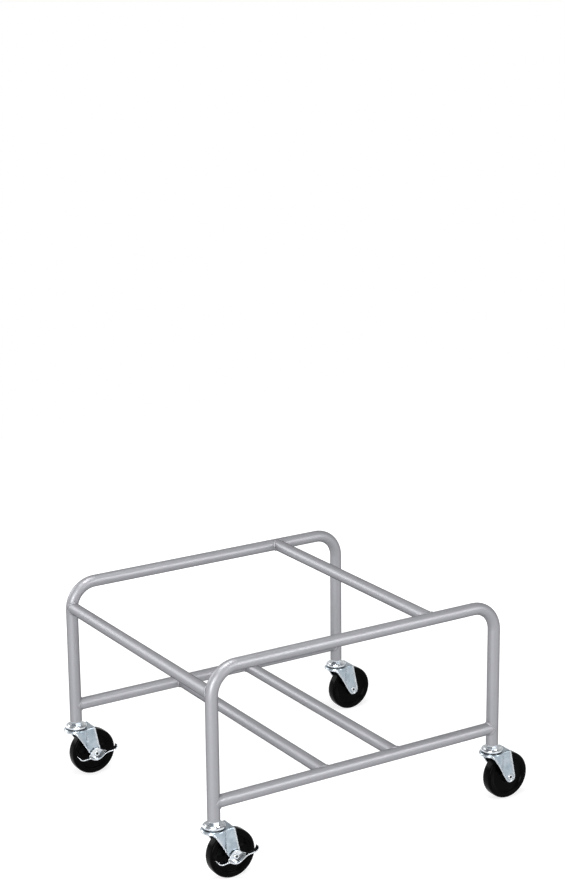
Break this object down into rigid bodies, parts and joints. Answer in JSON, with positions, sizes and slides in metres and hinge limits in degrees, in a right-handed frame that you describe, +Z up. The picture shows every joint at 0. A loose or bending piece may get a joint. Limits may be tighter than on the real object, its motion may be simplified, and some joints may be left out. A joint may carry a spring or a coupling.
{
  "type": "stacking chair trolley",
  "caption": "Low welded tube cradle on swivel casters, with foot brakes at one end, that carries a tilted stack of chairs between two side hoops.",
  "frame": {"origin": "on the floor, under the middle of the trolley's length and width", "axes": "+X along the hoops, from the braked front end to the rear end; +Y across them, from the left hoop to the right; +Z up"},
  "size_m": [0.7816, 0.6489, 0.4457],
  "materials": {
    "frame_paint": "satin silver-grey powder coat",
    "zinc": "bright bluish zinc plate",
    "rivet_zinc": "zinc plate, riveted head",
    "race_steel": "turned, lightly greased",
    "wheel_plastic": "satin moulded",
    "bushing_plastic": "natural nylon",
    "insert_plastic": "moulded"
  },
  "bodies": {
    "frame": {"left_hoop": "frame_paint", "right_hoop": "frame_paint", "left_side_rail": "frame_paint", "right_side_rail": "frame_paint", "front_upper_rail": "frame_paint", "front_cradle_rail": "frame_paint", "rear_cradle_rail": "frame_paint", "rear_top_rail": "frame_paint", "front_left_insert": "insert_plastic", "front_left_stem": "zinc", "front_left_swivel_cap": "zinc", "front_left_upper_race": "race_steel", "front_right_insert": "insert_plastic", "front_right_stem": "zinc", "front_right_swivel_cap": "zinc", "front_right_upper_race": "race_steel", "rear_left_insert": "insert_plastic", "rear_left_stem": "zinc", "rear_left_swivel_cap": "zinc", "rear_left_upper_race": "race_steel", "rear_right_insert": "insert_plastic", "rear_right_stem": "zinc", "rear_right_swivel_cap": "zinc", "rear_right_upper_race": "race_steel"},
    "front_left_caster": {"front_left_fork": "zinc", "front_left_lower_race": "race_steel", "front_left_bushing": "bushing_plastic", "front_left_axle": "rivet_zinc", "front_left_brake_cam": "race_steel"},
    "front_left_roller": {"front_left_wheel": "wheel_plastic"},
    "front_left_brake": {"front_left_brake_pedal": "zinc"},
    "front_right_caster": {"front_right_fork": "zinc", "front_right_lower_race": "race_steel", "front_right_bushing": "bushing_plastic", "front_right_axle": "rivet_zinc", "front_right_brake_cam": "race_steel"},
    "front_right_roller": {"front_right_wheel": "wheel_plastic"},
    "front_right_brake": {"front_right_brake_pedal": "zinc"},
    "rear_left_caster": {"rear_left_fork": "zinc", "rear_left_lower_race": "race_steel", "rear_left_bushing": "bushing_plastic", "rear_left_axle": "rivet_zinc"},
    "rear_left_roller": {"rear_left_wheel": "wheel_plastic"},
    "rear_right_caster": {"rear_right_fork": "zinc", "rear_right_lower_race": "race_steel", "rear_right_bushing": "bushing_plastic", "rear_right_axle": "rivet_zinc"},
    "rear_right_roller": {"rear_right_wheel": "wheel_plastic"}
  },
  "joints": [
    {"name": "front_left_swivel", "type": "hinge", "parent": "frame", "child": "front_left_caster", "pos_m": [-0.36475, -0.295, 0.11], "axis": [0, 0, 1], "continuous": true},
    {"name": "front_left_roll", "type": "hinge", "parent": "front_left_caster", "child": "front_left_roller", "pos_m": [-0.32975, -0.295, 0.05], "axis": [0, 1, 0], "continuous": true},
    {"name": "front_left_brake_tilt", "type": "hinge", "parent": "front_left_caster", "child": "front_left_brake", "pos_m": [-0.32975, -0.295, 0.05], "axis": [0, 1, 0], "range_deg": [0, 26]},
    {"name": "front_right_swivel", "type": "hinge", "parent": "frame", "child": "front_right_caster", "pos_m": [-0.36475, 0.295, 0.11], "axis": [0, 0, 1], "continuous": true},
    {"name": "front_right_roll", "type": "hinge", "parent": "front_right_caster", "child": "front_right_roller", "pos_m": [-0.32975, 0.295, 0.05], "axis": [0, 1, 0], "continuous": true},
    {"name": "front_right_brake_tilt", "type": "hinge", "parent": "front_right_caster", "child": "front_right_brake", "pos_m": [-0.32975, 0.295, 0.05], "axis": [0, 1, 0], "range_deg": [0, 26]},
    {"name": "rear_left_swivel", "type": "hinge", "parent": "frame", "child": "rear_left_caster", "pos_m": [0.30525, -0.295, 0.11], "axis": [0, 0, 1], "continuous": true},
    {"name": "rear_left_roll", "type": "hinge", "parent": "rear_left_caster", "child": "rear_left_roller", "pos_m": [0.34025, -0.295, 0.05], "axis": [0, 1, 0], "continuous": true},
    {"name": "rear_right_swivel", "type": "hinge", "parent": "frame", "child": "rear_right_caster", "pos_m": [0.30525, 0.295, 0.11], "axis": [0, 0, 1], "continuous": true},
    {"name": "rear_right_roll", "type": "hinge", "parent": "rear_right_caster", "child": "rear_right_roller", "pos_m": [0.34025, 0.295, 0.05], "axis": [0, 1, 0], "continuous": true}
  ]
}
